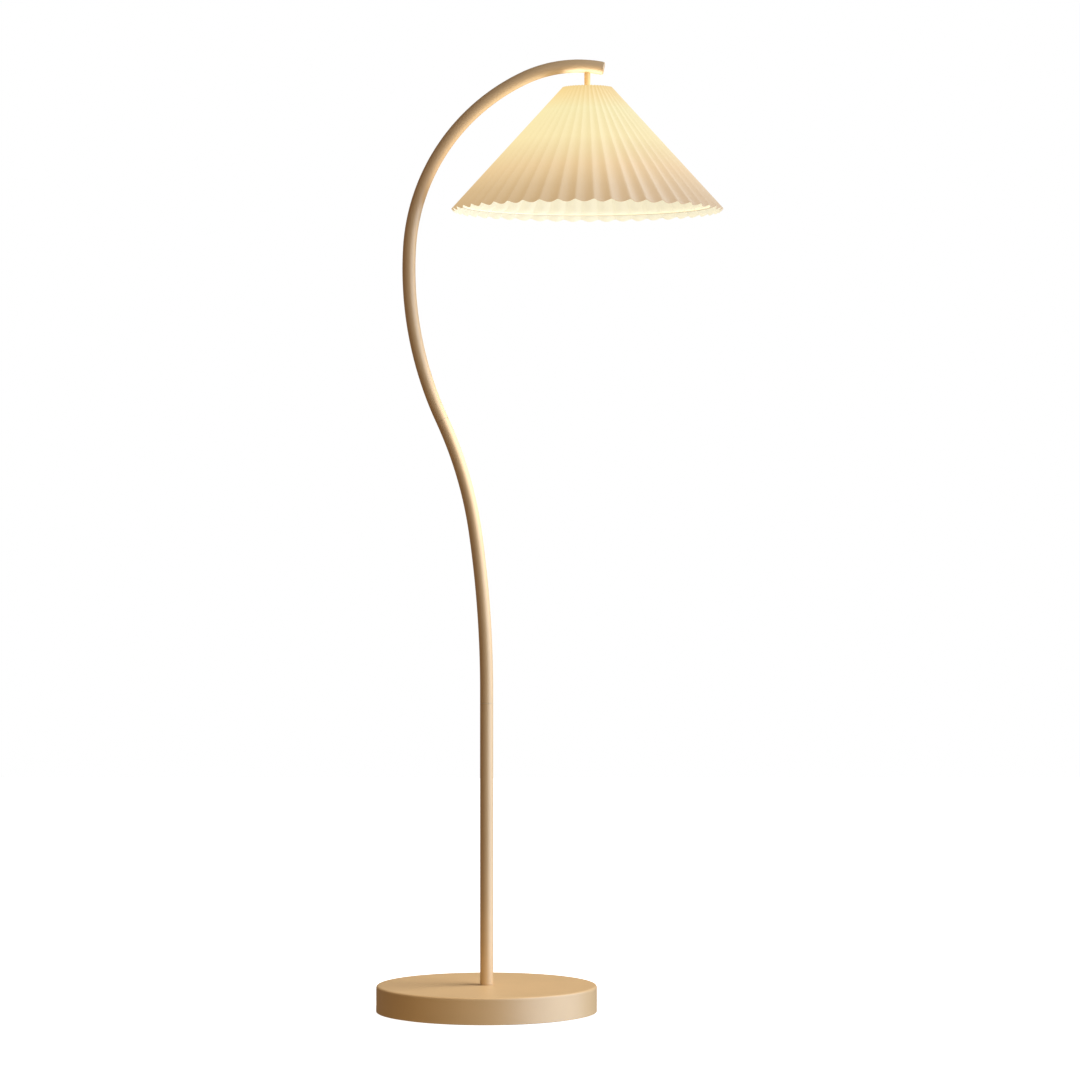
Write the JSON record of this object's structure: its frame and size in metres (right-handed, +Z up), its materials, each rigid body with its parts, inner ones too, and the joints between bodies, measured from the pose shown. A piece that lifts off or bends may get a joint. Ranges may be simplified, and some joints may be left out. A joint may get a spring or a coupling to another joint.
{
  "type": "arc floor lamp",
  "caption": "Floor lamp with a round weighted base, an S-curved tube pole in sections, and a pleated cone shade hung from the arm's end over a bulb.",
  "frame": {"origin": "On the floor, on the axis of the pole's straight lower section, at the centre of the pad's underside", "axes": "+Z up along the pole, +X the way the arm and the shade reach, +Y to the cord gland at the back"},
  "size_m": [0.5843, 0.4576, 1.6024],
  "materials": {
    "sand_paint": "satin powder coat, sand",
    "shade_fabric": "pleated woven fabric, cream, lit from inside",
    "zinc_steel": "zinc plated",
    "cast_iron": "rough cast",
    "brass": "bright",
    "foam": "fine closed-cell foam",
    "black_plastic": "moulded",
    "white_plastic": "moulded",
    "white_ceramic": "unglazed, lampholder insert",
    "lead_jacket": "flexible jacket",
    "white_wire": "gloss white wire",
    "opal_glass": "opal, lit"
  },
  "bodies": {
    "stand": {"base_pad": "foam", "base_plate": "zinc_steel", "base_weight": "cast_iron", "base_cover": "sand_paint", "centre_spacer": "zinc_steel", "pole_washer": "zinc_steel", "pole_nut": "zinc_steel", "pole_nipple": "zinc_steel", "base_screw_1": "zinc_steel", "base_screw_2": "zinc_steel", "base_screw_3": "zinc_steel", "base_screw_4": "zinc_steel", "cord_gland": "black_plastic", "terminal_block": "white_plastic", "terminal_screw_1": "brass", "terminal_screw_2": "brass", "pole_foot_insert": "zinc_steel", "pole_lower": "sand_paint", "lower_joiner": "zinc_steel", "pole_middle": "sand_paint", "upper_joiner": "zinc_steel", "pole_upper": "sand_paint", "arm_end_cap": "sand_paint", "internal_lead": "lead_jacket", "stem_tube": "sand_paint", "stem_saddle": "zinc_steel", "stem_nut": "zinc_steel", "lampholder_cap": "white_plastic", "lampholder_body": "white_plastic", "lampholder_insulator": "white_ceramic", "centre_contact": "brass", "screw_shell": "brass", "shade_clamp_ring": "white_plastic"},
    "shade": {"pleated_shade": "shade_fabric", "shade_spider": "white_wire", "hem_ring": "white_wire"},
    "bulb": {"bulb_globe": "opal_glass", "bulb_cap": "zinc_steel", "bulb_insulator": "black_plastic", "bulb_contact": "brass"}
  },
  "joints": [
    {"name": "shade_turn", "type": "hinge", "parent": "stand", "child": "shade", "pos_m": [0.1695, 0, 1.523], "axis": [0, 0, 1], "continuous": true},
    {"name": "bulb_out", "type": "slide", "parent": "stand", "child": "bulb", "axis": [0, 0, -1], "range_m": [0, 0.13]}
  ]
}
